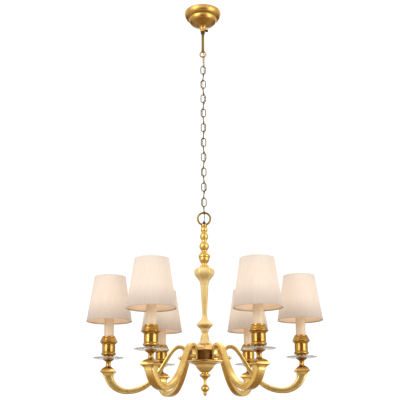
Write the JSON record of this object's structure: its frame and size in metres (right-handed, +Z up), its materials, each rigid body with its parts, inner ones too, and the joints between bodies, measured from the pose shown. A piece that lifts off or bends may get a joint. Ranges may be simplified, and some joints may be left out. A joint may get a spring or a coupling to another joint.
{
  "type": "multi arm chandelier",
  "caption": "Brass candle chandelier on a chain, with swan-neck arms, glass drip pans and tapered fabric clip shades.",
  "frame": {"origin": "on the ceiling plane, at the middle of the ceiling bracket's upper face", "axes": "+Z up along the hanging axis, +X towards the first arm, -Y the front"},
  "size_m": [0.696, 0.62, 1.2168],
  "materials": {
    "polished_brass": "polished",
    "satin_brass": "satin",
    "antique_brass": "antique",
    "plated_steel": "plated",
    "clear_glass": "polished",
    "bulb_glass": "frosted",
    "ivory_tube": "satin",
    "white_plastic": "matt",
    "shade_fabric": "woven",
    "clear_flex": "gloss"
  },
  "bodies": {
    "ceiling_end": {"ceiling_bracket": "plated_steel", "stem": "polished_brass"},
    "canopy_cover": {"canopy": "polished_brass"},
    "canopy_screw": {"thumb_screw": "antique_brass"},
    "suspension": {"chain": "antique_brass", "flex": "clear_flex"},
    "frame": {"hanging_ring": "antique_brass", "baluster": "polished_brass", "column": "satin_brass", "hub": "polished_brass", "bowl": "satin_brass", "finial": "polished_brass", "arm_1": "polished_brass", "spool_1": "polished_brass", "drip_pan_1": "clear_glass", "candle_cup_1": "polished_brass", "candle_sleeve_1": "ivory_tube", "lamp_holder_1": "white_plastic", "arm_2": "polished_brass", "spool_2": "polished_brass", "drip_pan_2": "clear_glass", "candle_cup_2": "polished_brass", "candle_sleeve_2": "ivory_tube", "lamp_holder_2": "white_plastic", "arm_3": "polished_brass", "spool_3": "polished_brass", "drip_pan_3": "clear_glass", "candle_cup_3": "polished_brass", "candle_sleeve_3": "ivory_tube", "lamp_holder_3": "white_plastic", "arm_4": "polished_brass", "spool_4": "polished_brass", "drip_pan_4": "clear_glass", "candle_cup_4": "polished_brass", "candle_sleeve_4": "ivory_tube", "lamp_holder_4": "white_plastic", "arm_5": "polished_brass", "spool_5": "polished_brass", "drip_pan_5": "clear_glass", "candle_cup_5": "polished_brass", "candle_sleeve_5": "ivory_tube", "lamp_holder_5": "white_plastic", "arm_6": "polished_brass", "spool_6": "polished_brass", "drip_pan_6": "clear_glass", "candle_cup_6": "polished_brass", "candle_sleeve_6": "ivory_tube", "lamp_holder_6": "white_plastic"},
    "lamp_1": {"bulb_1": "bulb_glass"},
    "clip_shade_1": {"shade_1": "shade_fabric"},
    "lamp_2": {"bulb_2": "bulb_glass"},
    "clip_shade_2": {"shade_2": "shade_fabric"},
    "lamp_3": {"bulb_3": "bulb_glass"},
    "clip_shade_3": {"shade_3": "shade_fabric"},
    "lamp_4": {"bulb_4": "bulb_glass"},
    "clip_shade_4": {"shade_4": "shade_fabric"},
    "lamp_5": {"bulb_5": "bulb_glass"},
    "clip_shade_5": {"shade_5": "shade_fabric"},
    "lamp_6": {"bulb_6": "bulb_glass"},
    "clip_shade_6": {"shade_6": "shade_fabric"}
  },
  "joints": [
    {"name": "canopy_slide", "type": "slide", "parent": "ceiling_end", "child": "canopy_cover", "axis": [0, 0, 1], "range_m": [-0.045, 0]},
    {"name": "thumb_screw_turn", "type": "hinge", "parent": "canopy_cover", "child": "canopy_screw", "pos_m": [0.0125, 0, -0.0614], "axis": [1, 0, 0], "continuous": true},
    {"name": "chain_swing", "type": "hinge", "parent": "ceiling_end", "child": "suspension", "pos_m": [0, 0, -0.1536], "axis": [1, 0, 0], "range_deg": [-20, 20], "deforming": ["flex"]},
    {"name": "frame_swing", "type": "hinge", "parent": "suspension", "child": "frame", "pos_m": [0, 0, -0.6691], "axis": [1, 0, 0], "range_deg": [-20, 20], "deforming": ["flex"]},
    {"name": "bulb_1_turn", "type": "hinge", "parent": "frame", "child": "lamp_1", "pos_m": [0.281, 0, -0.95], "axis": [0, 0, 1], "continuous": true},
    {"name": "shade_1_lift", "type": "slide", "parent": "lamp_1", "child": "clip_shade_1", "axis": [0, 0, 1], "range_m": [0, 0.16]},
    {"name": "bulb_2_turn", "type": "hinge", "parent": "frame", "child": "lamp_2", "pos_m": [0.1405, 0.24335, -0.95], "axis": [0, 0, 1], "continuous": true},
    {"name": "shade_2_lift", "type": "slide", "parent": "lamp_2", "child": "clip_shade_2", "axis": [0, 0, 1], "range_m": [0, 0.16]},
    {"name": "bulb_3_turn", "type": "hinge", "parent": "frame", "child": "lamp_3", "pos_m": [-0.1405, 0.24335, -0.95], "axis": [0, 0, 1], "continuous": true},
    {"name": "shade_3_lift", "type": "slide", "parent": "lamp_3", "child": "clip_shade_3", "axis": [0, 0, 1], "range_m": [0, 0.16]},
    {"name": "bulb_4_turn", "type": "hinge", "parent": "frame", "child": "lamp_4", "pos_m": [-0.281, 0, -0.95], "axis": [0, 0, 1], "continuous": true},
    {"name": "shade_4_lift", "type": "slide", "parent": "lamp_4", "child": "clip_shade_4", "axis": [0, 0, 1], "range_m": [0, 0.16]},
    {"name": "bulb_5_turn", "type": "hinge", "parent": "frame", "child": "lamp_5", "pos_m": [-0.1405, -0.24335, -0.95], "axis": [0, 0, 1], "continuous": true},
    {"name": "shade_5_lift", "type": "slide", "parent": "lamp_5", "child": "clip_shade_5", "axis": [0, 0, 1], "range_m": [0, 0.16]},
    {"name": "bulb_6_turn", "type": "hinge", "parent": "frame", "child": "lamp_6", "pos_m": [0.1405, -0.24335, -0.95], "axis": [0, 0, 1], "continuous": true},
    {"name": "shade_6_lift", "type": "slide", "parent": "lamp_6", "child": "clip_shade_6", "axis": [0, 0, 1], "range_m": [0, 0.16]}
  ]
}
